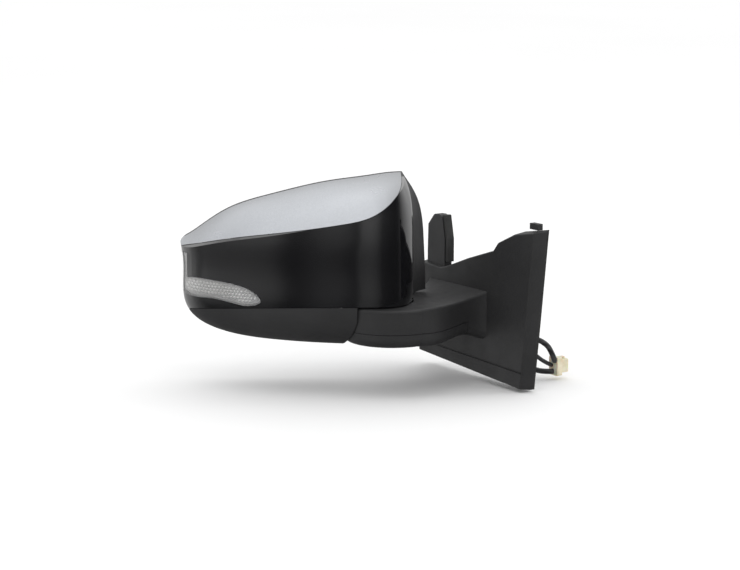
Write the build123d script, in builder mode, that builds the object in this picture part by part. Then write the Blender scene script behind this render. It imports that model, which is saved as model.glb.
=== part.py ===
"""Right-hand door mirror with power folding, a turn signal and a powered glass.

Frame: millimetres, +Z up. The origin is the centre of the stud circle on the door
face of the gasket. +X points into the door, -Y to the front of the car.
The head has a plan frame of its own: s runs inboard along the head, d runs to the rear.
"""
from build123d import *

import os
from math import cos, radians, sin, tan

# ---------------------------------------------------------------- driving dimensions
WALL = 2.6                # wall of the head's shells
SEAM = 0.5                # gap where two shells of the head meet
SWEEP = 32.0              # the head's outboard end lies this many degrees to the rear
HEAD_X, HEAD_Y = -108.0, 8.0
HEAD_REAR = 54.0          # depth of the rear rim
HEAD_TIP = -210.0         # outboard end of the head
HEAD_BOTTOM = -11.0
HULL_TOP = 28.0           # the rounded belly ends here
SPLIT_INBOARD = 22.0      # depth of the seam between front shells and rear housing
SPLIT_TIP = 38.0
CAP_RIM = 6.0             # the cap ends this far in front of the rear rim

PIVOT_D = -12.0           # fold axis, in head depth
FOOT_R = 50.0             # round foot of the arm below the head
FOLD_GAP = 1.2            # gap between foot and head
ARM_TOP = 28.0
ARM_BOTTOM = -10.0
ARM_SPLIT = 4.0           # the arm's lower cover starts here
ARM_WALL = 3.0

GASKET_T = 3.0
BASE_FACE = -17.5         # outer face of the base
BASE_WALL = 3.0
FINGER_T = 9.0            # thickness of the window-corner finger

STUD_D = 6.0
STUD_PCD = 76.0
STUD_OUT = 22.0           # stud length beyond the gasket
STUD_COLLAR = 9.0         # the collar below the gasket's door face, pressed into the bracket
STUD_PAD_R = 8.0          # pads of the bracket and the gasket round the studs
BRACKET_T = 6.0

POST_R = 9.0
POST_BORE = 5.5
POST_SCREW_R = POST_R + 4.0        # circle of the screws that hold the post down
POST_FLANGE_R = POST_SCREW_R + 4.0
POST_TOP = 96.0
RUN = 0.06                # radial running clearance on shafts
BOSS_TOP = 20.0
GEAR_TEETH = 24
GEAR_R = 14.0
WORM_R = 4.5

TILT_S, TILT_D, TILT_Z = -94.0, 30.0, 77.0     # centre of the glass joint
PIN_R = 1.4               # pins of the gimbal ring
NECK_R = 5.0              # neck of the actuator cover, in the gimbal ring
NECK_OVER = 2.4           # the neck reaches this far past the tilt centre
GIMBAL_IN, GIMBAL_OUT, GIMBAL_T = 5.6, 9.0, 2.8
SOCKET_IN, SOCKET_OUT, SOCKET_DEPTH = 10.5, 14.0, 6.0
POT_R = 36.0              # actuator housing
POT_WALL = 2.0
WHEEL_TIP = 8.0           # drive gear, over its teeth
DRIVE_ARM = POT_R - POT_WALL - WHEEL_TIP - 2.0     # plunger distance from the tilt centre
HOLDER_D = 33.5           # front face of the glass holder
HOLDER_T = 3.0
HEATER_T = 0.6
GLASS_T = 2.2

RIM_T = 4.0               # thickness of the rim round the glass
GLASS_GAP = 3.5           # gap between the glass and the rim
LENS_GAP = 0.3
LENS_T = 2.2
LENS_PROUD = 1.6          # the lens stands this far out of the shell
HULL_SEAM_Z, HULL_SEAM_D = 29.4, -50.0
HULL_SLOPE = tan(radians(10))
HEAD_FLOOR = ARM_TOP + FOLD_GAP
FLOOR_HOLE_R = 22.5

GUIDE_INSET, GUIDE_T = 2.2, 2.4
TUB_INSET = 6.2
BOARD_S, BOARD_D, BOARD_Z = -165.0, 8.0, 39.0
FRAME_D, FRAME_T = 7.0, 3.0
FRAME_SCREW = 4.0
GEARBOX_R = 17.0
GEARBOX_Z, GEARBOX_H = HEAD_FLOOR + WALL + 0.4, 28.0
WORM_S, WORM_D = -4.0, -19.0
MOTOR_S, MOTOR_LENGTH, MOTOR_R = -33.0, 30.0, 9.5
GEAR_Z = 46.0
RING_Z, RING_R = 23.2, 20.0
SPRING_Z, SPRING_R, SPRING_WIRE = 64.4, 12.6, 2.4
POT_D, POT_DEPTH = 10.2, 12.5
PLUNGER_R = 3.5
PLUNGER_START = 6.2

# Side outline of the base as (y, z), anticlockwise from the rear bottom corner
BASE = [
    (91, -48), (88, 50), (52, 48), (41, 51), (5, 64), (-37, 77), (-45, 86), (-72, 98), (-107, 104),
    (-97, 22), (-86, -60),
]
BASE_CORNER = 2.5
# Sections of the arm: x, front y, rear y, bottom z, top z
ARM_SECTIONS = [
    (-114, -52, 48, ARM_BOTTOM, ARM_TOP), (-70, -43, 50, ARM_BOTTOM, ARM_TOP - 0.4),
    (-36, -27, 58, ARM_BOTTOM - 1, ARM_TOP - 0.4), (-15.5, -30, 72, ARM_BOTTOM - 8, ARM_TOP + 6),
]

BRACKET_IN = 6.0          # depth of the bracket plate behind the door face
BEAM_Y, BEAM_Z, BEAM_W, BEAM_H = 8.0, 9.0, 40.0, 18.0
BOSS_R = 26.0
GASKET_W = 7.0
HARNESS_HOLE = (0.0, -30.0)    # to the front of the stud circle's centre, and up
GROMMET_R = 11.0
GROMMET_OUT = 8.0
# Routes of the leads, from the grommet to the back of the connector
LEAD_UPPER_D, LEAD_MIDDLE_D, LEAD_LOWER_D = 5.6, 4.2, 5.6
LEAD_UPPER = [(8, -3, -25), (21, -8, -23), (30, -22, -19.5), (35, -40, -18.5), (42, -52, -24),
              (46, -56, -34), (52, -52.5, -42.5)]
LEAD_MIDDLE = [(8, 2, -29), (20, -6, -30), (28, -24, -31), (33, -41, -34), (42, -47, -43),
               (52, -47.7, -47.5)]
LEAD_LOWER = [(8, -2, -35), (18, -9, -39), (25, -24, -44), (33, -38, -50.5), (42, -46, -53.5),
              (52, -50, -53.5)]
PLUG_START = Vector(52.0, -50.0, -48.0)
PLUG_BACK = (14.0, 19.0, 6.0)      # the connector's thick rear part: width, height, length
PLUG_NOSE = (11.0, 14.0, 9.0)

# ---------------------------------------------------------------- planes
head = Plane(
    origin=(HEAD_X, HEAD_Y, 0),
    x_dir=(cos(radians(SWEEP)), -sin(radians(SWEEP)), 0),
    z_dir=(0, 0, 1),
)
fold = Plane(origin=head.from_local_coords((0, PIVOT_D, 0)), x_dir=head.x_dir, z_dir=(0, 0, 1))


def facing(d):
    """Upright plane at head depth d, seen from the front: x is s, y is z, normal forward."""
    return Plane(head.from_local_coords((0, d, 0)), x_dir=head.x_dir, z_dir=-head.y_dir)


def backing(d, s=0.0, z=0.0):
    """Upright plane at head depth d, with its normal to the rear and its origin at s, z."""
    return Plane(head.from_local_coords((s, d, z)), x_dir=-head.x_dir, z_dir=head.y_dir)


def across(s, d=0.0, z=0.0):
    """Upright plane across the head at s: x is d, y is z, normal inboard."""
    return Plane(head.from_local_coords((s, d, z)), x_dir=head.y_dir, z_dir=head.x_dir)


# The door face seen from outboard: x is to the front, y is up, normal outboard
outboard = Plane((0, 0, 0), x_dir=(0, -1, 0), z_dir=(-1, 0, 0))
rear_split = Plane(
    head.from_local_coords((0, SPLIT_INBOARD, 0)),
    x_dir=(0, 0, 1),
    z_dir=head.from_local_coords((SPLIT_TIP - SPLIT_INBOARD, -HEAD_TIP, 0)) - head.origin,
)
cap_split = backing(HEAD_REAR - CAP_RIM)
yaw_axis = Plane(head.from_local_coords((TILT_S, TILT_D, TILT_Z)), x_dir=head.x_dir, z_dir=(0, 0, 1))
pitch_axis = Plane(yaw_axis.origin, x_dir=(0, 0, 1), z_dir=head.x_dir)

# ---------------------------------------------------------------- head form
# Front line of the head in plan, at mid height, from the outboard rim to the inboard rim
PLAN = [
    (HEAD_TIP + 6, HEAD_REAR), (HEAD_TIP, 32), (HEAD_TIP + 13, 5), (-160, -20), (-100, -41),
    (-40, -50), (4, -44), (19, -20), (22, 15), (37, HEAD_REAR),
]
# height, length factor, depth factor, shift of the inboard wall, inboard flare of the rim
UPPER_SLICES = [
    (80, 1.0, 1.01, 0, -2),
    (118, 0.998, 0.99, -1, -7),
    (137, 0.994, 0.97, -4, -16),
    (154, 0.985, 0.94, -12, -26),
]
# s, height at the crease, height at the rear rim, depth of the crease
ROOF = [
    (-240, 62, 66, 30), (-208, 79, 86, 20), (-190, 85, 97, 0), (-165, 92, 113, -16),
    (-120, 100, 128, -34), (-60, 109.5, 141.5, -48), (-22, 118, 146.5, -50), (-5, 129, 149, -47),
    (8, 142, 150, -42), (18, 147, 150, -28), (34, 149, 149, -10), (52, 149, 149, -10),
]
CREASE = [(-240, 70), (-209, 80), (-175, 90), (-120, 100), (-50, 111), (-20, 119), (-5, 129),
          (7, 143), (12, 152), (14, 165)]

# Plan of the room for the arm over the whole fold, round the fold axis, next to its foot
ARM_ROOM = [(-36, -36), (-28, -80), (150, -80), (150, 120), (-66, 120), (-56, 62), (-51.5, 14)]

# Front-view outline of the signal lens, and its upright limb at the tip
LENS = [(-216, 42), (-206, 49), (-180, 51), (-150, 47), (-135, 40), (-130, 33), (-138, 28.5),
        (-156, 29.5), (-182, 33), (-206, 34)]
LENS_LIMB = [(-240, 74), (-203, 74), (-203, 50), (-205, 34), (-240, 34)]
# Outline of the mirror glass
GLASS = [(-196, 55), (-193, 75), (-181, 90), (-150, 105.5), (-105, 119), (-50, 130.5),
         (-8, 136), (4, 132), (11, 116), (15.5, 88), (16, 60), (11, 44), (-4, 38.5), (-55, 36.5),
         (-120, 30), (-165, 24), (-187, 33)]


def belly_slices(inset):
    """Slices of the rounded belly: a quarter ellipse from the bottom up to HULL_TOP."""
    slices = []
    for angle in (90, 75, 55, 30, 0):
        z = HULL_TOP - (HULL_TOP - HEAD_BOTTOM - inset) * sin(radians(angle))
        turn_in = 1 - cos(radians(angle))
        slices.append((z, 0.99 - 0.31 * turn_in, 1.0 - 0.23 * turn_in, 0, 0))
    return slices


def plan_points(slice_values, inset):
    """The plan line at one height, moved inwards by inset."""
    _, length, depth, shift, flare = slice_values
    line = []
    for i, (s, d) in enumerate(PLAN):
        move = shift if i >= len(PLAN) - 3 else 0
        move = flare if i == len(PLAN) - 1 else move
        line.append(Vector(22 + (s - 22) * length + move, HEAD_REAR + (d - HEAD_REAR) * depth))
    points = []
    for i, point in enumerate(line):
        along = line[min(i + 1, len(line) - 1)] - line[max(i - 1, 0)]
        inward = Vector(-along.Y, along.X).normalized()
        points.append(point + inward * inset)
    return points


def roof_block(inset):
    """Everything below the roof surface of the head."""
    with BuildPart() as block:
        for s, low, high, front in ROOF:
            reach = HEAD_REAR - front
            bend = (high - low - 0.02 * reach) / reach**2
            back = [-12, reach / 4, reach / 2, reach * 3 / 4, reach, reach + 25]
            with BuildSketch(across(s)):
                with BuildLine():
                    crown = Spline(
                        *[(HEAD_REAR - b, high - 0.02 * b - bend * b * b - inset) for b in back]
                    )
                    Polyline(crown @ 1, ((crown @ 1).X, -40), ((crown @ 0).X, -40), crown @ 0)
                make_face()
        loft()
    return block.part


def head_body(inset, rear=HEAD_REAR):
    """The head's outer form, or the same form moved inwards by inset."""
    with BuildPart() as body:
        for slice_values in belly_slices(inset) + UPPER_SLICES:
            points = plan_points(slice_values, inset)
            with BuildSketch(head.offset(slice_values[0])):
                with BuildLine():
                    front = Spline(*points)
                    Line(front @ 1, front @ 0)
                make_face()
        loft()
        add(roof_block(inset), mode=Mode.INTERSECT)
        split(bisect_by=backing(rear), keep=Keep.BOTTOM)
    return body.part



def grown(outline, amount):
    """The points of a closed clockwise outline, moved outwards by amount."""
    points = []
    for i, (x, y) in enumerate(outline):
        before, after = outline[i - 1], outline[(i + 1) % len(outline)]
        outward = Vector(before[1] - after[1], after[0] - before[0]).normalized()
        points.append(Vector(x, y) + outward * amount)
    return points


def above_crease(gap):
    """Everything above the crease line, moved up by gap."""
    with BuildPart() as block:
        with BuildSketch(facing(80)):
            with BuildLine():
                edge = Spline(*[(s, z + gap) for s, z in CREASE])
                Polyline(edge @ 1, (60, 220), (-260, 220), edge @ 0)
            make_face()
        extrude(amount=180)
    return block.part


def above_hull(gap):
    """Everything above the sloping seam between the front cover and the lower cover."""
    with BuildPart() as block:
        with BuildSketch(across(90)):
            with BuildLine():
                near = (-90, HULL_SEAM_Z - (-90 - HULL_SEAM_D) * HULL_SLOPE + gap)
                far = (90, HULL_SEAM_Z - (90 - HULL_SEAM_D) * HULL_SLOPE + gap)
                Polyline(near, far, (90, 220), (-90, 220), close=True)
            make_face()
        extrude(amount=-360)
    return block.part


def arm_room(grow, top):
    """The space that the arm and its foot need below the head, up to a height."""
    with BuildPart() as room:
        with BuildSketch(fold.offset(HEAD_BOTTOM - 20)):
            Circle(FOOT_R + FOLD_GAP)
            with BuildLine():
                Polyline(*ARM_ROOM, close=True)
            make_face()
            offset(amount=grow, kind=Kind.ARC)
        extrude(amount=top - HEAD_BOTTOM + 20)
    return room.part


def lens_room(grow):
    """The front-view outline of the signal lens, with its upright limb round the tip."""
    with BuildPart() as block:
        with BuildSketch(facing(SPLIT_TIP + 20)):
            with BuildLine():
                Spline(*grown(LENS, grow), periodic=True)
            make_face()
            with BuildLine():
                Polyline(*grown(LENS_LIMB, grow), close=True)
            make_face()
        extrude(amount=140)
        split(bisect_by=rear_split, keep=Keep.BOTTOM)
        split(bisect_by=across(-120), keep=Keep.BOTTOM)
    return block.part


def glass_plate(depth, thickness, shrink):
    """A plate with the outline of the glass, made smaller by shrink."""
    with BuildPart() as plate:
        with BuildSketch(facing(depth + thickness)):
            with BuildLine():
                Spline(*grown(GLASS, -shrink), periodic=True)
            make_face()
        extrude(amount=thickness)
    return plate.part


def head_shell():
    """The whole shell of the head, with a wall round the room for the arm."""
    with BuildPart() as cavity:
        add(inner)
        add(arm_room(WALL, HEAD_FLOOR + WALL), mode=Mode.SUBTRACT)
    with BuildPart() as shell:
        add(outer)
        add(cavity.part, mode=Mode.SUBTRACT)
        add(arm_room(0, HEAD_FLOOR), mode=Mode.SUBTRACT)
        with BuildSketch(fold.offset(HEAD_FLOOR - 1)):
            Circle(FLOOR_HOLE_R)
        extrude(amount=WALL + 2, mode=Mode.SUBTRACT)
    return shell.part


pieces = []


def keep(piece, label):
    """Name a finished piece and keep it for export."""
    piece.part.label = label
    pieces.append(piece.part)


# ---------------------------------------------------------------- shells of the head
outer = head_body(0)
inner = head_body(WALL, HEAD_REAR - RIM_T)
shell = head_shell()

with BuildPart() as upper_cap:
    add(shell)
    add(above_crease(SEAM / 2), mode=Mode.INTERSECT)
    split(bisect_by=cap_split.offset(-SEAM / 2), keep=Keep.BOTTOM)
keep(upper_cap, "upper_cap")

with BuildPart() as front_cover:
    add(shell)
    add(above_crease(-SEAM / 2), mode=Mode.SUBTRACT)
    add(above_hull(SEAM / 2), mode=Mode.INTERSECT)
    split(bisect_by=rear_split.offset(-SEAM / 2), keep=Keep.BOTTOM)
    add(lens_room(LENS_GAP), mode=Mode.SUBTRACT)
keep(front_cover, "front_cover")

with BuildPart() as lower_cover:
    add(shell)
    add(above_hull(-SEAM / 2), mode=Mode.SUBTRACT)
    split(bisect_by=rear_split.offset(-SEAM / 2), keep=Keep.BOTTOM)
    add(lens_room(LENS_GAP), mode=Mode.SUBTRACT)
keep(lower_cover, "lower_cover")

with BuildPart() as cap_room:
    add(above_crease(-SEAM / 2))
    split(bisect_by=cap_split.offset(SEAM / 2), keep=Keep.BOTTOM)

with BuildPart() as rear_housing:
    add(shell)
    split(bisect_by=rear_split.offset(SEAM / 2), keep=Keep.TOP)
    add(cap_room.part, mode=Mode.SUBTRACT)
    add(glass_plate(HEAD_REAR - RIM_T - 4, RIM_T + 8, -GLASS_GAP), mode=Mode.SUBTRACT)
keep(rear_housing, "rear_housing")


# ---------------------------------------------------------------- turn signal
def lens_skin(out_inset, in_inset, shrink):
    """A curved layer behind the lens opening, between two insets of the head's form."""
    with BuildPart() as layer:
        add(head_body(out_inset, HEAD_REAR + 10))
        add(head_body(in_inset, HEAD_REAR + 10), mode=Mode.SUBTRACT)
        add(lens_room(-shrink), mode=Mode.INTERSECT)
        split(bisect_by=rear_split.offset(-SEAM / 2 - LENS_GAP), keep=Keep.BOTTOM)
    return layer.part


with BuildPart() as signal_lens:
    add(lens_skin(-LENS_PROUD, LENS_T - LENS_PROUD, 0))
keep(signal_lens, "signal_lens")

with BuildPart() as signal_light_guide:
    add(lens_skin(GUIDE_INSET, GUIDE_INSET + GUIDE_T, 1.5))
keep(signal_light_guide, "signal_light_guide")

with BuildPart() as signal_housing:
    add(lens_skin(TUB_INSET, TUB_INSET + 2, 0.5))
keep(signal_housing, "signal_housing")

with BuildPart() as signal_board:
    with BuildSketch(backing(BOARD_D, BOARD_S, BOARD_Z)):
        RectangleRounded(44, 14, 2)
    extrude(amount=1.6)
keep(signal_board, "signal_board")

with BuildPart() as signal_leds:
    with BuildSketch(backing(BOARD_D - 1.9, BOARD_S, BOARD_Z)):
        with GridLocations(9, 1, 4, 1):
            Rectangle(3.5, 3.5)
    extrude(amount=1.9)
keep(signal_leds, "signal_leds")

# ---------------------------------------------------------------- frame of the head
with BuildPart() as head_frame:
    with BuildSketch(facing(FRAME_D + FRAME_T)) as plate:
        with BuildLine():
            Polyline((-176, 52), (-170, 86), (-118, 110), (-20, 128), (8, 128), (8, 44), (-60, 42),
                     close=True)
        make_face()
        fillet(plate.vertices(), 7)
        with Locations((-30, 100), (-150, 70)):
            Circle(9, mode=Mode.SUBTRACT)
        with Locations((0, 62), (0, 78), (-16, 62)):
            Circle(FRAME_SCREW / 2, mode=Mode.SUBTRACT)
    extrude(amount=FRAME_T)
    with BuildSketch(facing(FRAME_D)):
        with Locations((-90, 112)):
            Rectangle(120, 2.4, rotation=11)
        with Locations((-95, 47)):
            Rectangle(90, 2.4)
    extrude(amount=8)
keep(head_frame, "head_frame")

with BuildPart() as frame_screws:
    for s, z in ((-84, 62), (-106, 100), (-106, 62), (-84, 100)):
        with BuildSketch(backing(FRAME_D - 2.5, s, z)):
            Circle(3.2)
        extrude(amount=2.3)
keep(frame_screws, "frame_screws")


# ---------------------------------------------------------------- power fold unit, on the pivot
def gearbox_outline(shrink):
    """Plan of the gearbox: round the post, along the worm, and round the motor."""
    Circle(GEARBOX_R - shrink)
    with Locations((WORM_S, WORM_D)):
        Rectangle(18 - 2 * shrink, 13 - 2 * shrink)
    with Locations((MOTOR_S, WORM_D)):
        Rectangle(MOTOR_LENGTH + 6 - 2 * shrink, MOTOR_R * 2 + 4 - 2 * shrink)
    with Locations((WORM_S, WORM_D / 2)):
        Rectangle(18 - 2 * shrink, 14, mode=Mode.ADD)


with BuildPart() as pivot_post:
    with BuildSketch(fold.offset(BOSS_TOP)):
        Circle(POST_FLANGE_R)
    extrude(amount=3)
    with BuildSketch(fold.offset(BOSS_TOP)):
        Circle(POST_R)
    extrude(amount=POST_TOP - BOSS_TOP)
    with BuildSketch(fold.offset(BOSS_TOP)):
        Circle(POST_BORE)
        with PolarLocations(POST_SCREW_R, 3):
            Circle(1.8)
    extrude(amount=POST_TOP, mode=Mode.SUBTRACT)
    chamfer(pivot_post.edges().group_by(Axis.Z)[-1].sort_by(SortBy.LENGTH)[-1], 0.8)
keep(pivot_post, "pivot_post")

with BuildPart() as post_screws:
    with BuildSketch(fold.offset(BOSS_TOP + 3)):
        with PolarLocations(POST_SCREW_R, 3):
            Circle(3)
    extrude(amount=1.6)
keep(post_screws, "post_screws")

with BuildPart() as detent_ring_lower:
    with BuildSketch(fold.offset(BOSS_TOP)):
        Circle(RING_R)
        Circle(POST_FLANGE_R + 0.1, mode=Mode.SUBTRACT)
    extrude(amount=RING_Z + 4 - BOSS_TOP)
    with BuildSketch(fold.offset(RING_Z + 4)):
        with PolarLocations(RING_R - 1.4, 3, start_angle=20):
            RegularPolygon(1.2, 4)
    extrude(amount=0.8)
keep(detent_ring_lower, "detent_ring_lower")

with BuildPart() as detent_ring_upper:
    with BuildSketch(fold.offset(RING_Z + 5.2)):
        Circle(RING_R)
        Circle(POST_R + RUN, mode=Mode.SUBTRACT)
    extrude(amount=GEARBOX_Z - RING_Z - 5.2)
    with BuildSketch(fold.offset(RING_Z + 5.2)):
        with PolarLocations(RING_R - 1.4, 3, start_angle=20):
            RegularPolygon(1.6, 4)
    extrude(amount=1, mode=Mode.SUBTRACT)
keep(detent_ring_upper, "detent_ring_upper")

with BuildPart() as gearbox_housing:
    with BuildSketch(fold.offset(GEARBOX_Z)):
        gearbox_outline(0)
    extrude(amount=GEARBOX_H)
    with BuildSketch(fold.offset(GEARBOX_Z + 2)):
        gearbox_outline(2)
    extrude(amount=GEARBOX_H, mode=Mode.SUBTRACT)
    with BuildSketch(fold.offset(GEARBOX_Z)):
        Circle(POST_R + RUN)
    extrude(amount=GEARBOX_H, mode=Mode.SUBTRACT)
keep(gearbox_housing, "gearbox_housing")

with BuildPart() as gearbox_lid:
    with BuildSketch(fold.offset(GEARBOX_Z + GEARBOX_H)):
        gearbox_outline(0)
        Circle(POST_R + RUN, mode=Mode.SUBTRACT)
    extrude(amount=2.5)
keep(gearbox_lid, "gearbox_lid")

with BuildPart() as fold_gear:
    with BuildSketch(fold.offset(GEAR_Z - 4)):
        Circle(GEAR_R - 1.6)
        with PolarLocations(GEAR_R - 1.3, GEAR_TEETH):
            Rectangle(2.6, 1.7)
        Circle(POST_R, mode=Mode.SUBTRACT)
    extrude(amount=8)
keep(fold_gear, "fold_gear")

with BuildPart() as fold_worm:
    worm_plane = Plane(fold.from_local_coords((WORM_S - 7, WORM_D, GEAR_Z)), x_dir=(0, 0, 1),
                       z_dir=head.x_dir)
    with BuildSketch(worm_plane):
        Circle(2)
    extrude(amount=14)
    for turn in range(5):
        with BuildSketch(worm_plane.offset(1.6 + turn * 2.3)):
            Circle(WORM_R)
        extrude(amount=1.2)
keep(fold_worm, "fold_worm")

with BuildPart() as fold_motor:
    with BuildSketch(Plane(fold.from_local_coords((MOTOR_S - MOTOR_LENGTH / 2, WORM_D, GEAR_Z)),
                           x_dir=(0, 0, 1), z_dir=head.x_dir)):
        Circle(MOTOR_R)
        Rectangle(MOTOR_R * 2, MOTOR_R * 1.5, mode=Mode.INTERSECT)
    extrude(amount=MOTOR_LENGTH)
keep(fold_motor, "fold_motor")

with BuildPart() as fold_spring:
    with BuildLine(fold.offset(SPRING_Z)):
        coil = Helix(pitch=4.2, height=16.8, radius=SPRING_R)
    with BuildSketch(Plane(coil @ 0, z_dir=coil % 0)):
        Circle(SPRING_WIRE / 2)
    sweep(is_frenet=True)
keep(fold_spring, "fold_spring")

with BuildPart() as spring_cap:
    with BuildSketch(fold.offset(SPRING_Z + 16.8 + SPRING_WIRE)):
        Circle(SPRING_R + 2.5)
        Circle(POST_R, mode=Mode.SUBTRACT)
    extrude(amount=3.5)
keep(spring_cap, "spring_cap")


# ---------------------------------------------------------------- glass actuator
def tilt_plane(depth):
    """Upright plane through the tilt centre's axis, facing the rear."""
    return backing(depth, TILT_S, TILT_Z)


with BuildPart() as actuator_housing:
    with BuildSketch(tilt_plane(POT_D)):
        Circle(POT_R)
    extrude(amount=POT_DEPTH)
    with BuildSketch(tilt_plane(POT_D + POT_WALL)):
        Circle(POT_R - POT_WALL)
    extrude(amount=POT_DEPTH, mode=Mode.SUBTRACT)
    with BuildSketch(tilt_plane(POT_D + POT_WALL)):
        Circle(5.5)
    extrude(amount=POT_DEPTH - POT_WALL)
keep(actuator_housing, "actuator_housing")

with BuildPart() as actuator_cover:
    with BuildSketch(tilt_plane(POT_D + POT_DEPTH)):
        Circle(POT_R)
        with Locations((DRIVE_ARM, 0), (0, -DRIVE_ARM)):
            Circle(PLUNGER_R + RUN, mode=Mode.SUBTRACT)
    extrude(amount=2)
    with BuildSketch(tilt_plane(POT_D + POT_DEPTH + 2)):
        Circle(NECK_R)
    extrude(amount=TILT_D - POT_D - POT_DEPTH - 2 + NECK_OVER)
    with BuildSketch(yaw_axis):
        Circle(PIN_R + RUN)
    extrude(amount=NECK_R + 1, both=True, mode=Mode.SUBTRACT)
keep(actuator_cover, "actuator_cover")

with BuildPart() as gimbal_ring:
    with BuildSketch(tilt_plane(TILT_D - GIMBAL_T / 2)):
        Circle(GIMBAL_OUT)
        Circle(GIMBAL_IN, mode=Mode.SUBTRACT)
    extrude(amount=GIMBAL_T)
    for axis, inner_end, outer_end in (
        (yaw_axis, NECK_R - 1.8, GIMBAL_IN + 1), (pitch_axis, GIMBAL_OUT - 1, SOCKET_OUT - 1)
    ):
        for side in (1, -1):
            with BuildSketch(axis.offset(side * inner_end)):
                Circle(PIN_R)
            extrude(amount=side * (outer_end - inner_end))
keep(gimbal_ring, "gimbal_ring")

for name, x, y, motor_spot in (
    ("yaw", DRIVE_ARM, 0, (DRIVE_ARM - 18, 18)),
    ("pitch", 0, -DRIVE_ARM, (-DRIVE_ARM - 3, 15 - DRIVE_ARM)),
):
    drive = backing(0, TILT_S, TILT_Z)
    with BuildPart() as plunger:
        with BuildSketch(drive.offset(POT_D + PLUNGER_START)):
            with Locations((x, y)):
                Circle(PLUNGER_R)
        extrude(amount=HOLDER_D - POT_D - PLUNGER_START - 1.2)
    keep(plunger, f"plunger_{name}")
    with BuildPart() as wheel:
        with BuildSketch(drive.offset(POT_D + 7.5)):
            with Locations((x, y)):
                Circle(WHEEL_TIP - 1)
                with PolarLocations(WHEEL_TIP - 0.8, 16):
                    Rectangle(1.6, 1.4)
            with Locations((x, y)):
                Circle(PLUNGER_R + RUN, mode=Mode.SUBTRACT)
        extrude(amount=4)
    keep(wheel, f"drive_gear_{name}")
    with BuildPart() as motor:
        with BuildSketch(Plane(drive.from_local_coords((*motor_spot, POT_D + 7.3)),
                               x_dir=head.y_dir, z_dir=-head.x_dir)):
            Circle(5)
        extrude(amount=15)
    keep(motor, f"motor_{name}")

# ---------------------------------------------------------------- glass
with BuildPart() as glass_holder:
    add(glass_plate(HOLDER_D, HOLDER_T, 1.5))
    with BuildSketch(tilt_plane(HOLDER_D)):
        Circle(SOCKET_OUT)
        Circle(SOCKET_IN, mode=Mode.SUBTRACT)
    extrude(amount=-SOCKET_DEPTH)
    with BuildSketch(pitch_axis):
        Circle(PIN_R + RUN)
    extrude(amount=SOCKET_OUT + 1, both=True, mode=Mode.SUBTRACT)
keep(glass_holder, "glass_holder")

with BuildPart() as heater_pad:
    add(glass_plate(HOLDER_D + HOLDER_T, HEATER_T, 4))
keep(heater_pad, "heater_pad")

with BuildPart() as mirror_glass:
    add(glass_plate(HOLDER_D + HOLDER_T + HEATER_T, GLASS_T, 0))
    chamfer(mirror_glass.edges().group_by(SortBy.LENGTH)[-1], 0.6)
keep(mirror_glass, "mirror_glass")


# ---------------------------------------------------------------- base and arm
def slab(face, shrink, taper):
    """The body of the base from the gasket out to a face, narrowing towards the face."""
    with BuildPart() as block:
        with BuildSketch(outboard.offset(GASKET_T)) as outline:
            with BuildLine():
                Polyline(*grown([(-y, z) for y, z in BASE], -shrink), close=True)
            make_face()
            fillet(outline.vertices(), BASE_CORNER)
        extrude(amount=-face - GASKET_T, taper=taper)
    return block.part


def arm_block(shrink):
    """The arm: a round foot below the head, and a beam that widens into the base."""
    with BuildPart() as block:
        with BuildSketch(fold.offset(ARM_BOTTOM + shrink)):
            Circle(FOOT_R - shrink)
        extrude(amount=ARM_TOP - ARM_BOTTOM - 2 * shrink)
        fillet(block.edges().group_by(Axis.Z)[0], 9)
        fillet(block.edges().group_by(Axis.Z)[-1], 2.5)
        for x, front, rear, low, high in ARM_SECTIONS:
            with BuildSketch(Plane.YZ.offset(x)) as section:
                with BuildLine():
                    Polyline((front + shrink, low + shrink), (rear - shrink, low + shrink),
                             (rear - shrink, high - shrink), (front + shrink, high - shrink),
                             close=True)
                make_face()
                fillet(section.vertices().group_by(Axis.Y)[0], 9)
                fillet(section.vertices().group_by(Axis.Y)[-1], 2.5)
        loft()
    return block.part


with BuildPart() as base_cover:
    add(slab(BASE_FACE, 0, 8))
    fillet(base_cover.faces().sort_by(Axis.X)[0].edges(), 1.5)
    add(arm_block(0))
    with BuildSketch(Plane.YZ.offset(-GASKET_T - 1)) as finger:
        with BuildLine():
            Polyline((50, 40), (50, 76), (55, 100), (68, 100), (79, 88), (80, 60), (80, 40),
                     close=True)
        make_face()
        fillet(finger.vertices().group_by(Axis.Y)[0], 6)
        fillet(finger.vertices().group_by(Axis.Y)[-1], 6)
    extrude(amount=-FINGER_T)
    add(slab(BASE_FACE + BASE_WALL, BASE_WALL, 8), mode=Mode.SUBTRACT)
    add(arm_block(ARM_WALL), mode=Mode.SUBTRACT)
    with BuildSketch(Plane.YZ.offset(-40)):
        with BuildLine():
            Polyline((140, ARM_BOTTOM - 5), (140, ARM_SPLIT), (-140, ARM_SPLIT), (-140, ARM_BOTTOM - 5),
                     close=True)
        make_face()
    extrude(amount=-200, mode=Mode.SUBTRACT)
    with BuildSketch(fold.offset(ARM_TOP - 10)):
        Circle(FLOOR_HOLE_R - 1)
    extrude(amount=20, mode=Mode.SUBTRACT)
    with BuildSketch(outboard.offset(8)):
        with Locations((-BEAM_Y, BEAM_Z)):
            Rectangle(BEAM_W + 2, BEAM_H + 2)
    extrude(amount=14, mode=Mode.SUBTRACT)
    with BuildSketch(outboard.offset(-BASE_FACE)):
        with BuildLine():
            Polyline((-120, -32), (120, -41), (120, -43.2), (-120, -34.2), close=True)
        make_face()
    extrude(amount=-1.2, mode=Mode.SUBTRACT)
keep(base_cover, "base_cover")

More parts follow.
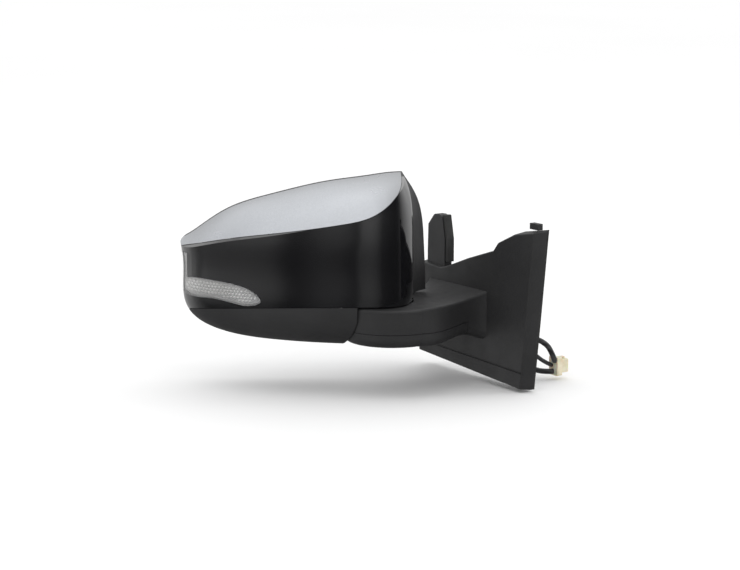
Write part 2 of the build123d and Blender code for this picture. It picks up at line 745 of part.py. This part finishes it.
with BuildPart() as arm_lower_cover:
    add(arm_block(0))
    add(arm_block(ARM_WALL), mode=Mode.SUBTRACT)
    split(bisect_by=Plane.XY.offset(ARM_SPLIT - SEAM), keep=Keep.BOTTOM)
    split(bisect_by=Plane.YZ.offset(-40 - SEAM), keep=Keep.BOTTOM)
keep(arm_lower_cover, "arm_lower_cover")

with BuildPart() as base_bracket:
    with BuildSketch(outboard.offset(BRACKET_IN)) as plate:
        with BuildLine():
            Polyline(*grown([(-y, z) for y, z in BASE], -BASE_WALL - 7), close=True)
        make_face()
        with Locations(HARNESS_HOLE):
            Circle(GROMMET_R, mode=Mode.SUBTRACT)
    extrude(amount=BRACKET_T)
    with BuildSketch(outboard.offset(GASKET_T)):
        with PolarLocations(STUD_PCD / 2, 3, start_angle=90):
            Circle(STUD_PAD_R)
    extrude(amount=BRACKET_IN - GASKET_T)
    with BuildSketch(outboard.offset(BRACKET_IN + BRACKET_T)):
        with Locations((-BEAM_Y, BEAM_Z)):
            Rectangle(BEAM_W, BEAM_H)
    extrude(amount=-fold.origin.X - BRACKET_IN - BRACKET_T)
    with BuildSketch(fold.offset(BEAM_Z - BEAM_H / 2)):
        Circle(BOSS_R)
    extrude(amount=BOSS_TOP - BEAM_Z + BEAM_H / 2)
    with BuildSketch(fold.offset(ARM_BOTTOM)):
        Circle(POST_BORE)
        with PolarLocations(POST_SCREW_R, 3):
            Circle(1.5)
    extrude(amount=60, mode=Mode.SUBTRACT)
    with BuildSketch(outboard):
        with PolarLocations(STUD_PCD / 2, 3, start_angle=90):
            Circle(STUD_COLLAR / 2)
    extrude(amount=BRACKET_IN + BRACKET_T - 1, mode=Mode.SUBTRACT)
keep(base_bracket, "base_bracket")

with BuildPart() as mount_studs:
    with BuildSketch(outboard.offset(-STUD_OUT)):
        with PolarLocations(STUD_PCD / 2, 3, start_angle=90):
            Circle(STUD_D / 2)
    extrude(amount=STUD_OUT)
    with BuildSketch(outboard):
        with PolarLocations(STUD_PCD / 2, 3, start_angle=90):
            Circle(STUD_COLLAR / 2)
    extrude(amount=BRACKET_IN + BRACKET_T - 1)
    chamfer(mount_studs.edges().group_by(Axis.X)[-1], 0.8)
keep(mount_studs, "mount_studs")

with BuildPart() as base_gasket:
    with BuildSketch(outboard) as sheet:
        with BuildLine():
            Polyline(*grown([(-y, z) for y, z in BASE], -0.8), close=True)
        make_face()
        with BuildLine():
            Polyline(*grown([(-y, z) for y, z in BASE], -GASKET_W), close=True)
        make_face(mode=Mode.SUBTRACT)
        with PolarLocations(STUD_PCD / 2, 3, start_angle=90):
            Circle(STUD_PAD_R)
            Circle(STUD_COLLAR / 2, mode=Mode.SUBTRACT)
    extrude(amount=GASKET_T)
keep(base_gasket, "base_gasket")

with BuildPart() as finger_seal:
    with BuildSketch(Plane.YZ.offset(-GASKET_T - 1)) as strip:
        with BuildLine():
            Polyline((46, 52), (46, 76), (51, 100), (54.5, 100), (49.7, 76), (49.7, 52), close=True)
        make_face()
    extrude(amount=-8)
keep(finger_seal, "finger_seal")

with BuildPart() as base_clip:
    with BuildSketch(outboard.offset(6)):
        with Locations((97, 106.6)):
            Rectangle(13, 6)
    extrude(amount=6)
keep(base_clip, "base_clip")

with BuildPart() as harness_grommet:
    with BuildSketch(outboard.offset(-1)):
        with Locations(HARNESS_HOLE):
            Circle(GROMMET_R + 2.5)
    extrude(amount=BRACKET_IN + 1)
    with BuildSketch(outboard.offset(-GROMMET_OUT)):
        with Locations(HARNESS_HOLE):
            Circle(GROMMET_R - 0.5)
    extrude(amount=GROMMET_OUT + BRACKET_IN + BRACKET_T - 0.5)
keep(harness_grommet, "harness_grommet")


# ---------------------------------------------------------------- harness
def lead(route, diameter, label):
    """A lead along straight runs joined by tangent arcs."""
    points = [Vector(*p) for p in route]
    radii = []
    for before, corner, after in zip(points, points[1:], points[2:]):
        turn = (corner - before).get_angle(after - corner)
        run = min((corner - before).length, (after - corner).length)
        radii.append(0.45 * run / tan(radians(turn / 2)))
    with BuildPart() as cord:
        with BuildLine():
            path = FilletPolyline(*points, radius=radii)
        with BuildSketch(Plane(path @ 0, z_dir=path % 0)):
            Circle(diameter / 2)
        sweep()
    keep(cord, label)


lead(LEAD_UPPER, LEAD_UPPER_D, "harness_lead_upper")
lead(LEAD_MIDDLE, LEAD_MIDDLE_D, "harness_lead_middle")
lead(LEAD_LOWER, LEAD_LOWER_D, "harness_lead_lower")

plug_plane = Plane(PLUG_START, x_dir=(0, 1, 0), z_dir=(1, 0, 0))
with BuildPart() as connector:
    with BuildSketch(plug_plane):
        RectangleRounded(PLUG_BACK[0], PLUG_BACK[1], 1.5)
    extrude(amount=PLUG_BACK[2])
    with BuildSketch(plug_plane.offset(PLUG_BACK[2])):
        RectangleRounded(PLUG_NOSE[0], PLUG_NOSE[1], 1.2)
    extrude(amount=PLUG_NOSE[2])
    with BuildSketch(plug_plane.offset(PLUG_BACK[2] + 2)):
        with GridLocations(3.2, 4.0, 3, 3):
            Rectangle(1.8, 2.2)
    extrude(amount=PLUG_NOSE[2], mode=Mode.SUBTRACT)
keep(connector, "connector")

latch_plane = Plane(PLUG_START + (PLUG_BACK[2], 0, PLUG_NOSE[1] / 2), x_dir=(0, 1, 0), z_dir=(1, 0, 0))
with BuildPart() as connector_latch:
    with BuildSketch(latch_plane):
        with Locations((0, 1.6)):
            Rectangle(4, 1)
    extrude(amount=PLUG_NOSE[2] - 2)
    with BuildSketch(latch_plane.offset(PLUG_NOSE[2] - 4)):
        with Locations((0, 0.6)):
            Rectangle(4, 1.1)
    extrude(amount=2)
keep(connector_latch, "connector_latch")

if __name__ == "__main__":
    os.makedirs("parts", exist_ok=True)
    for piece in pieces:
        export_step(piece, f"parts/{piece.label}.step")
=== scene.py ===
from math import cos, pi, radians, sin

import bpy
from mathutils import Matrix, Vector
from mathutils.bvhtree import BVHTree


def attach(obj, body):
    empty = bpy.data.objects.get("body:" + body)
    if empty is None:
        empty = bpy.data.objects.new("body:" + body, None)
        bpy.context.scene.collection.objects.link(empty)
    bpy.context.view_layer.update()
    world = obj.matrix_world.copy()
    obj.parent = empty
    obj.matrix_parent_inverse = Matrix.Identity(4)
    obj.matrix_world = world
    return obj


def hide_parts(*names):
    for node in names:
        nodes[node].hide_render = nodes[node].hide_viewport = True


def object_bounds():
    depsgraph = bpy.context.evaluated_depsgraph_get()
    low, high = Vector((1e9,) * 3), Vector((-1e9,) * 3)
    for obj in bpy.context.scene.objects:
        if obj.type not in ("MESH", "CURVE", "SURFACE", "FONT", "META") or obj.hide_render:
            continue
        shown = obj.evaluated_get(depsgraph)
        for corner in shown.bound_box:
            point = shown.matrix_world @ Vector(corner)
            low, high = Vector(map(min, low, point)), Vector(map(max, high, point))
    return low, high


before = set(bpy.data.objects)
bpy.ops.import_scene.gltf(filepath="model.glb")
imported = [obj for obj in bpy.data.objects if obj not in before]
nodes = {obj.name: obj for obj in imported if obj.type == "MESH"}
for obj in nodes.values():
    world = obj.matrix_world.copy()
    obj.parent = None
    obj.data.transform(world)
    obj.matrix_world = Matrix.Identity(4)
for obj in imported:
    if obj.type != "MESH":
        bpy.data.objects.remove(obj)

cad_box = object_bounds()

# ---------------------------------------------------------------- the head's own axes
SWEEP = radians(32)
HEAD_ORIGIN = Vector((-0.108, 0.008, 0.0))
ALONG = Vector((cos(SWEEP), -sin(SWEEP), 0.0))     # inboard along the head
REARWARD = Vector((sin(SWEEP), cos(SWEEP), 0.0))   # depth of the head
UP = Vector((0.0, 0.0, 1.0))


def head_point(s, d, z):
    """A point of the head's own frame, in metres of the shared frame."""
    return HEAD_ORIGIN + ALONG * s + REARWARD * d + UP * z


# ---------------------------------------------------------------- camera
VIEW_AZIMUTH, VIEW_ELEVATION = radians(-34), radians(10)
VIEW_DISTANCE = 2.4
AIM_RIGHT, AIM_UP = -0.1155, 0.033      # the aim from the stud circle's centre, across the view
SENSOR_WIDTH, FOCAL_LENGTH = 36, 114.5  # millimetres

camera_back = Vector((sin(VIEW_AZIMUTH) * cos(VIEW_ELEVATION),
                      -cos(VIEW_AZIMUTH) * cos(VIEW_ELEVATION), sin(VIEW_ELEVATION)))
camera_right = Vector((cos(VIEW_AZIMUTH), sin(VIEW_AZIMUTH), 0.0))
camera_up = camera_back.cross(camera_right)
camera = bpy.data.objects.new("camera", bpy.data.cameras.new("camera"))
bpy.context.scene.collection.objects.link(camera)
camera.location = camera_right * AIM_RIGHT + camera_up * AIM_UP + camera_back * VIEW_DISTANCE
camera.rotation_euler = camera_back.to_track_quat("Z", "Y").to_euler()
camera.data.sensor_width = SENSOR_WIDTH
camera.data.lens = FOCAL_LENGTH
bpy.context.scene.camera = camera


# ---------------------------------------------------------------- helpers
def link(name, data):
    """A new object with this data, in the scene."""
    piece = bpy.data.objects.new(name, data)
    bpy.context.scene.collection.objects.link(piece)
    return piece


def mesh_piece(name, vertices, faces, smooth=True):
    """A new mesh object from points and faces."""
    mesh = bpy.data.meshes.new(name)
    mesh.from_pydata(vertices, [], faces)
    mesh.update()
    if smooth:
        mesh.polygons.foreach_set("use_smooth", [True] * len(mesh.polygons))
    return link(name, mesh)


NOISE_LOW, NOISE_HIGH = 0.3, 0.7      # most of a noise's values lie between these


class Shader:
    """A Principled material with its nodes at hand."""

    def __init__(self, name, **constants):
        self.material = bpy.data.materials.new(name)
        self.material.use_nodes = True
        self.tree = self.material.node_tree
        self.surface = self.tree.nodes["Principled BSDF"]
        for socket, value in constants.items():
            self.surface.inputs[socket.replace("_", " ")].default_value = value
        self.place = self.tree.nodes.new("ShaderNodeTexCoord").outputs["Object"]
        self.last_normal = None

    def node(self, kind, **settings):
        """A new node, with its sockets and properties set by name."""
        node = self.tree.nodes.new(kind)
        for key, value in settings.items():
            if key in node.inputs:
                node.inputs[key].default_value = value
            else:
                setattr(node, key, value)
        return node

    def join(self, output, target):
        """Links two sockets."""
        self.tree.links.new(output, target)

    def noise(self, scale, detail=3.0, stretch=None):
        """Noise in object space; scale is in cycles per metre."""
        noise = self.node("ShaderNodeTexNoise", Scale=scale, Detail=detail, Roughness=0.55)
        source = self.place
        if stretch:
            mapping = self.node("ShaderNodeMapping", Scale=stretch)
            self.join(source, mapping.inputs["Vector"])
            source = mapping.outputs["Vector"]
        self.join(source, noise.inputs["Vector"])
        return noise.outputs["Fac"]

    def cells(self, scale, feature="F1", output="Distance"):
        """Cell pattern in object space."""
        cells = self.node("ShaderNodeTexVoronoi", feature=feature, Scale=scale)
        self.join(self.place, cells.inputs["Vector"])
        return cells.outputs[output]

    def tint(self, factor, low, high, low_at=NOISE_LOW, high_at=NOISE_HIGH):
        """Base colour between low and high, by factor."""
        ramp = self.node("ShaderNodeValToRGB")
        ramp.color_ramp.elements[0].position = low_at
        ramp.color_ramp.elements[1].position = high_at
        ramp.color_ramp.elements[0].color = (*low, 1)
        ramp.color_ramp.elements[1].color = (*high, 1)
        self.join(factor, ramp.inputs["Fac"])
        self.join(ramp.outputs["Color"], self.surface.inputs["Base Color"])

    def vary(self, factor, low, high):
        """Roughness between low and high, by factor."""
        span = self.node("ShaderNodeMapRange")
        span.inputs["From Min"].default_value = NOISE_LOW
        span.inputs["From Max"].default_value = NOISE_HIGH
        span.inputs["To Min"].default_value = low
        span.inputs["To Max"].default_value = high
        self.join(factor, span.inputs["Value"])
        self.join(span.outputs["Result"], self.surface.inputs["Roughness"])

    def bump(self, height, distance, strength=1.0, coat=False):
        """Adds a bump on top of the earlier ones; distance is in metres."""
        bump = self.node("ShaderNodeBump", Distance=distance, Strength=strength)
        self.join(height, bump.inputs["Height"])
        if self.last_normal is not None:
            self.join(self.last_normal, bump.inputs["Normal"])
        self.last_normal = bump.outputs["Normal"]
        self.join(self.last_normal, self.surface.inputs["Normal"])
        if coat:
            self.join(self.last_normal, self.surface.inputs["Coat Normal"])


def dress(material, *names):
    """Gives the material to CAD nodes by name, or to pieces."""
    for name in names:
        piece = nodes[name] if isinstance(name, str) else name
        piece.data.materials.clear()
        piece.data.materials.append(material)


# ---------------------------------------------------------------- harness
LEADS = {      # each route's points, in millimetres of the shared frame
    "upper": ((8, -3, -25), (21, -8, -23), (30, -22, -19.5), (35, -40, -18.5), (42, -52, -24),
              (46, -56, -34), (52, -52.5, -42.5)),
    "middle": ((8, 2, -29), (20, -6, -30), (28, -24, -31), (33, -41, -34), (42, -47, -43),
               (52, -47.7, -47.5)),
    "lower": ((8, -2, -35), (18, -9, -39), (25, -24, -44), (33, -38, -50.5), (42, -46, -53.5),
              (52, -50, -53.5)),
}
LEAD_DIAMETER = {"upper": 0.0056, "middle": 0.0042, "lower": 0.0056}
POINT_RADIUS = 0.001      # Blender pads a curve's box by its points' radius, so it is kept small


def lead(which):
    """One taped lead of the harness, as a smooth spline along its route."""
    curve = bpy.data.curves.new("taped_lead_" + which, "CURVE")
    curve.dimensions = "3D"
    spline = curve.splines.new("NURBS")
    spline.points.add(len(LEADS[which]) - 1)
    for point, place in zip(spline.points, LEADS[which]):
        point.co = (*[value / 1000 for value in place], 1)
        point.radius = POINT_RADIUS
    spline.order_u = 3
    spline.use_endpoint_u = True
    spline.resolution_u = 12
    curve.bevel_depth = LEAD_DIAMETER[which] / 2 / POINT_RADIUS
    curve.bevel_resolution = 6
    curve.use_fill_caps = True
    piece = link("taped_lead_" + which, curve)
    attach(piece, "base")
    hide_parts("harness_lead_" + which)
    return piece


leads = [lead(which) for which in LEADS]


# ---------------------------------------------------------------- materials
def painted_reflection_silver():
    """Silver metallic base coat with fine flake under a clear coat: a painted reflection, standing in
    for the overhead softbox's bright reflection on the cap's gloss black top.
    """
    paint = Shader("painted_reflection_silver", Metallic=0.9, Coat_Weight=0.35, Coat_Roughness=0.12,
                   Coat_IOR=1.5)
    # Painted reflection: this silver grey stands in for the softbox's reflection on the cap's gloss
    # black top.
    paint.tint(paint.cells(2600, output="Color"), (0.36, 0.375, 0.40), (0.47, 0.485, 0.51), 0.1, 0.9)
    paint.vary(paint.noise(30), 0.27, 0.34)
    return paint.material


def piano_black():
    """Polished black plastic with the faintest orange peel and dust haze."""
    gloss = Shader("piano_black", Coat_Weight=1.0, Coat_Roughness=0.02, Coat_IOR=1.52)
    gloss.tint(gloss.noise(14), (0.0015, 0.0015, 0.002), (0.003, 0.003, 0.004))
    gloss.vary(gloss.noise(60, 6), 0.05, 0.11)
    gloss.bump(gloss.noise(160, 1), 0.00006, 0.12, coat=True)
    return gloss.material


def grained_black(name, low, high, rough_low=0.5, rough_high=0.66, depth=0.00012):
    """Moulded black plastic with a fine leather-like spark grain."""
    plastic = Shader(name, IOR=1.49)
    plastic.tint(plastic.noise(9, 5), low, high)
    plastic.vary(plastic.noise(40, 5), rough_low, rough_high)
    plastic.bump(plastic.cells(1150), depth, 0.55)
    plastic.bump(plastic.noise(2300, 3), depth * 0.6, 0.5)
    return plastic.material


def plain_plastic(name, low, high, rough=(0.38, 0.5), grain=700):
    """Technical moulding: slight mottling, faint sink marks and a satin face."""
    plastic = Shader(name, IOR=1.47)
    plastic.tint(plastic.noise(25, 4), low, high)
    plastic.vary(plastic.noise(55, 4), *rough)
    plastic.bump(plastic.noise(grain, 3), 0.00004, 0.4)
    return plastic.material


def metal(name, low, high, rough=(0.25, 0.42), stretch=(1, 1, 12), scale=220):
    """Worked metal with drawn or cast marks."""
    steel = Shader(name, Metallic=1.0)
    steel.tint(steel.noise(scale / 4, 5), low, high)
    steel.vary(steel.noise(scale, 5, stretch), *rough)
    steel.bump(steel.noise(scale * 2, 4, stretch), 0.00003, 0.35)
    return steel.material


def rubber(name, low, high):
    """Matt rubber with a little bloom."""
    skin = Shader(name, IOR=1.5, Sheen_Weight=0.15, Sheen_Roughness=0.5)
    skin.tint(skin.noise(70, 6), low, high)
    skin.vary(skin.noise(90, 4), 0.68, 0.86)
    skin.bump(skin.noise(1400, 3), 0.00006, 0.5)
    return skin.material


def harness_tape():
    """Black cloth tape wound round the leads."""
    tape = Shader("harness_tape", Sheen_Weight=0.3, Sheen_Roughness=0.4)
    wave = tape.node("ShaderNodeTexWave", wave_type="BANDS", bands_direction="DIAGONAL",
                     Scale=85.0, Distortion=1.2, Detail=1.0)
    tape.join(tape.place, wave.inputs["Vector"])
    tape.tint(wave.outputs["Fac"], (0.012, 0.012, 0.013), (0.045, 0.045, 0.047), 0.1, 0.9)
    tape.vary(tape.noise(300), 0.4, 0.6)
    tape.bump(wave.outputs["Fac"], 0.0002, 0.7)
    tape.bump(tape.noise(2600, 2), 0.00005, 0.6)
    return tape.material


def clear_lens():
    """Water-clear moulding with a faint flow haze."""
    lens = Shader("clear_lens", Alpha=0.13, IOR=1.49, Coat_Weight=1.0, Coat_Roughness=0.02,
                  Specular_IOR_Level=0.7)
    lens.tint(lens.noise(30, 3), (0.86, 0.87, 0.88), (0.97, 0.96, 0.94))
    lens.vary(lens.noise(80, 4), 0.02, 0.07)
    lens.bump(lens.noise(220, 2), 0.00003, 0.2, coat=True)
    return lens.material


def prism_material():
    """Bright reflector facets behind the lens."""
    prism = Shader("prism_facets", Metallic=0.9, Coat_Weight=0.5, Coat_Roughness=0.05)
    prism.tint(prism.noise(45, 3), (0.50, 0.49, 0.46), (0.80, 0.80, 0.79))
    prism.vary(prism.noise(200, 3), 0.12, 0.24)
    return prism.material


def light_guide():
    """Frosted light guide, slightly warm where the amber diodes sit."""
    guide = Shader("light_guide", IOR=1.49, Coat_Weight=0.6, Coat_Roughness=0.06)
    guide.tint(guide.noise(22, 3), (0.07, 0.066, 0.06), (0.16, 0.16, 0.16))
    guide.vary(guide.noise(120, 3), 0.15, 0.3)
    guide.bump(guide.cells(420), 0.0005, 0.6)
    return guide.material


def ivory_nylon():
    """Natural nylon, slightly see-through, with a dull skin."""
    nylon = Shader("ivory_nylon", IOR=1.53, Subsurface_Weight=0.35, Subsurface_Scale=0.004)
    nylon.tint(nylon.noise(90, 4), (0.64, 0.58, 0.40), (0.83, 0.78, 0.62))
    nylon.vary(nylon.noise(140, 4), 0.32, 0.46)
    nylon.bump(nylon.noise(900, 2), 0.00004, 0.3)
    return nylon.material


def mirror_silver():
    """Silvered glass with faint dust."""
    mirror = Shader("mirror_silver", Metallic=1.0, Coat_Weight=0.4, Coat_Roughness=0.01)
    mirror.tint(mirror.noise(6, 2), (0.80, 0.83, 0.85), (0.86, 0.88, 0.89))
    mirror.vary(mirror.noise(35, 6), 0.008, 0.03)
    return mirror.material


def circuit_board():
    """Green solder mask with tracks."""
    board = Shader("circuit_board", Coat_Weight=0.4, Coat_Roughness=0.15)
    board.tint(board.cells(330, "DISTANCE_TO_EDGE"), (0.10, 0.22, 0.10), (0.012, 0.07, 0.03), 0.02, 0.08)
    board.vary(board.noise(90), 0.3, 0.45)
    return board.material


def amber_led():
    """Cast amber diode body."""
    led = Shader("amber_led", Coat_Weight=0.5, Coat_Roughness=0.1)
    led.tint(led.noise(500, 2), (0.85, 0.42, 0.04), (0.95, 0.62, 0.15))
    led.vary(led.noise(200), 0.2, 0.35)
    return led.material


TEXTURED = grained_black("textured_black", (0.020, 0.020, 0.021), (0.033, 0.033, 0.034))
TECHNICAL = plain_plastic("technical_black", (0.022, 0.022, 0.023), (0.045, 0.045, 0.047))
ZINC = metal("zinc_plate", (0.50, 0.50, 0.49), (0.68, 0.68, 0.66))
GROUND = metal("ground_steel", (0.42, 0.43, 0.44), (0.60, 0.61, 0.62), (0.18, 0.32))
CAST = metal("cast_alloy", (0.40, 0.41, 0.42), (0.56, 0.57, 0.58), (0.42, 0.6), (1, 1, 1), 420)
RUBBER = rubber("sealing_rubber", (0.010, 0.010, 0.010), (0.026, 0.026, 0.026))
ACETAL = plain_plastic("white_acetal", (0.68, 0.68, 0.65), (0.82, 0.82, 0.80), (0.28, 0.38))

# Painted reflection: the upper cap is silver grey where the softbox's reflection lights its gloss black
# top, while the front cover below keeps the black.
dress(painted_reflection_silver(), "upper_cap")
dress(piano_black(), "front_cover")
dress(TEXTURED, "lower_cover", "rear_housing", "base_cover", "arm_lower_cover", "base_clip")
dress(TECHNICAL, "head_frame", "gearbox_housing", "gearbox_lid", "actuator_housing",
      "actuator_cover", "glass_holder", "gimbal_ring", "heater_pad")
dress(ZINC, "mount_studs", "post_screws", "frame_screws", "fold_motor", "motor_yaw", "motor_pitch",
      "spring_cap", "fold_worm")
dress(GROUND, "pivot_post", "detent_ring_lower", "detent_ring_upper", "fold_gear", "fold_spring")
dress(CAST, "base_bracket")
dress(RUBBER, "base_gasket", "finger_seal", "harness_grommet")
dress(ACETAL, "plunger_yaw", "plunger_pitch", "drive_gear_yaw", "drive_gear_pitch")
dress(clear_lens(), "signal_lens")
dress(light_guide(), "signal_light_guide")
dress(plain_plastic("signal_grey", (0.20, 0.20, 0.21), (0.30, 0.30, 0.31)), "signal_housing")
dress(circuit_board(), "signal_board")
dress(amber_led(), "signal_leds")
dress(ivory_nylon(), "connector", "connector_latch")
dress(mirror_silver(), "mirror_glass")
dress(harness_tape(), *leads)

# ---------------------------------------------------------------- prisms behind the lens
PRISM_STEP = 0.0034        # between the prisms' centres
PRISM_CORNER = PRISM_STEP * 0.54
PRISM_HEIGHT = 0.0012
PRISM_SINK = 0.0002        # the prisms' feet stand this deep in the light guide
FIRST_S, FIRST_Z = -0.222, 0.026      # the lowest outboard prism, in the head's axes
ROWS, COLUMNS = 14, 34
SEAT_FROM, SEAT_REACH = -0.15, 0.3    # the rays that find the guide start in front and run back
STEEPEST = -0.25           # a face turned further from the front than this carries no prism


def prism_field():
    """A honeycomb of small pyramids on the front of the light guide."""
    guide = nodes["signal_light_guide"]
    tree = BVHTree.FromPolygons([guide.matrix_world @ v.co for v in guide.data.vertices],
                                [tuple(face.vertices) for face in guide.data.polygons])

    def seat(s, z):
        """The guide's front at this place, with its normal, or None."""
        hit, normal, _, _ = tree.ray_cast(head_point(s, SEAT_FROM, z), REARWARD, SEAT_REACH)
        return (hit, normal) if hit and normal.dot(REARWARD) < STEEPEST else None

    vertices, faces = [], []
    for row in range(ROWS):
        for column in range(COLUMNS):
            s = FIRST_S + (column + row % 2 / 2) * PRISM_STEP
            z = FIRST_Z + row * PRISM_STEP * sin(pi / 3)
            corners = [seat(s + cos(pi / 6 + turn * pi / 3) * PRISM_CORNER,
                            z + sin(pi / 6 + turn * pi / 3) * PRISM_CORNER)
                       for turn in range(6)]
            middle = seat(s, z)
            if middle is None or None in corners:
                continue
            first = len(vertices)
            vertices.extend(point - normal * PRISM_SINK for point, normal in corners)
            vertices.append(middle[0] + middle[1] * PRISM_HEIGHT)
            vertices.append(middle[0] - middle[1] * PRISM_SINK * 2)
            for turn in range(6):
                near, far = first + turn, first + (turn + 1) % 6
                faces.append((near, far, first + 6))
                faces.append((far, near, first + 7))
    piece = mesh_piece("signal_prisms", vertices, faces, smooth=False)
    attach(piece, "head")
    return piece


dress(prism_material(), prism_field())

# ---------------------------------------------------------------- floor and light
FLOOR_REACH = 8
FLOOR_DROP = 0.002         # from the object's lowest point
floor_height = cad_box[0][2] - FLOOR_DROP
floor = mesh_piece("floor", [(FLOOR_REACH * x, FLOOR_REACH * y, floor_height)
                             for x, y in ((-1, -1), (1, -1), (1, 1), (-1, 1))],
                   [(0, 1, 2, 3)], smooth=False)
floor_paint = Shader("floor_paint", Roughness=0.9)
floor_paint.tint(floor_paint.noise(0.7), (0.93, 0.93, 0.93), (0.95, 0.95, 0.95))
dress(floor_paint.material, floor)
floor.visible_glossy = False


def area_light(name, place, target, width, height, power):
    """A soft rectangular light that faces a point, with its power in watts."""
    lamp = bpy.data.lights.new(name, "AREA")
    lamp.shape = "RECTANGLE"
    lamp.size = width
    lamp.size_y = height
    lamp.energy = power
    piece = link(name, lamp)
    piece.location = place
    piece.rotation_euler = (Vector(place) - Vector(target)).to_track_quat("Z", "Y").to_euler()
    return piece


OBJECT_CENTRE = (Vector(cad_box[0]) + Vector(cad_box[1])) / 2


def around(azimuth, distance, height):
    """A point round the object, with azimuth counted as for the camera, in degrees."""
    turn = radians(azimuth)
    return OBJECT_CENTRE + Vector((sin(turn), -cos(turn), 0)) * distance + UP * height


area_light("top_softbox", OBJECT_CENTRE + Vector((-0.1, 0.3, 1.6)), OBJECT_CENTRE,
           width=2.2, height=1.6, power=4)
area_light("corner_strip", around(60, 1.6, 0.5), around(0, 0, 0.1),
           width=0.14, height=0.9, power=2.2)

# ---------------------------------------------------------------- room
world = bpy.data.worlds.new("studio")
bpy.context.scene.world = world
world.use_nodes = True
links = world.node_tree.links


def world_node(kind, **settings):
    """A new node of the world."""
    node = world.node_tree.nodes.new(kind)
    for key, value in settings.items():
        setattr(node, key, value)
    return node


def tones(source, stops):
    """Grey levels along a value, as a ramp of (place, level)."""
    ramp = world_node("ShaderNodeValToRGB")
    ramp.color_ramp.interpolation = "B_SPLINE"
    while len(ramp.color_ramp.elements) < len(stops):
        ramp.color_ramp.elements.new(0.5)
    for element, (place, level) in zip(ramp.color_ramp.elements, stops):
        element.position = place
        element.color = (level, level, level, 1)
    links.new(source, ramp.inputs["Fac"])
    return ramp.outputs["Color"]


def unit_range(source):
    """A value of -1 to 1 brought to 0 to 1."""
    span = world_node("ShaderNodeMapRange")
    span.inputs["From Min"].default_value = -1
    links.new(source, span.inputs["Value"])
    return span.outputs["Result"]


ROOM_STRENGTH = 1.08
room = world.node_tree.nodes["Background"]
room.inputs["Color"].default_value = (1, 1, 1, 1)
room.inputs["Strength"].default_value = ROOM_STRENGTH
# Matt faces are lit by a plain white room. Glossy faces show another one: dark low down, bright
# overhead, with soft upright panels, and a mid grey behind the object for the mirror glass.
direction = world_node("ShaderNodeSeparateXYZ")
links.new(world_node("ShaderNodeTexCoord").outputs["Generated"], direction.inputs["Vector"])
across_room = unit_range(direction.outputs["X"])
height = unit_range(direction.outputs["Z"])
panels = tones(across_room, ((0.0, 0.75), (0.045, 0.75), (0.075, 0.08), (0.12, 0.30), (0.165, 0.48),
                             (0.185, 0.04), (0.205, 0.70), (0.30, 0.60), (0.42, 0.08), (0.8, 0.03),
                             (0.93, 0.10), (1.0, 1.0)))
panel_height = tones(height, ((0.30, 0.0), (0.50, 0.9), (0.64, 1.0), (0.75, 0.0)))
ceiling = tones(height, ((0.50, 0.01), (0.66, 0.20), (0.80, 0.95), (0.92, 1.35), (1.0, 1.0)))
behind = tones(unit_range(direction.outputs["Y"]), ((0.60, 0.0), (0.82, 0.30), (1.0, 0.50)))
ceiling_side = tones(across_room, ((0.0, 0.25), (0.25, 0.45), (0.5, 0.95), (0.8, 1.1)))


COLOR_A, COLOR_B, COLOR_RESULT = 6, 7, 2      # the Mix node's colour sockets


def blended(first, second, how):
    """Two grey levels put together."""
    joined = world_node("ShaderNodeMix", data_type="RGBA", blend_type=how, clamp_result=False)
    joined.inputs["Factor"].default_value = 1
    links.new(first, joined.inputs[COLOR_A])
    links.new(second, joined.inputs[COLOR_B])
    return joined.outputs[COLOR_RESULT]


reflected = blended(blended(panels, panel_height, "MULTIPLY"),
                    blended(ceiling, ceiling_side, "MULTIPLY"), "ADD")
reflected = blended(reflected, behind, "ADD")
mirrored = world_node("ShaderNodeBackground")
links.new(reflected, mirrored.inputs["Color"])
rays = world_node("ShaderNodeLightPath")
mix = world_node("ShaderNodeMixShader")
factor, for_others, for_glossy = mix.inputs
links.new(rays.outputs["Is Glossy Ray"], factor)
links.new(room.outputs["Background"], for_others)
links.new(mirrored.outputs["Background"], for_glossy)
links.new(mix.outputs["Shader"], world.node_tree.nodes["World Output"].inputs["Surface"])
bpy.context.scene.view_settings.view_transform = "Standard"
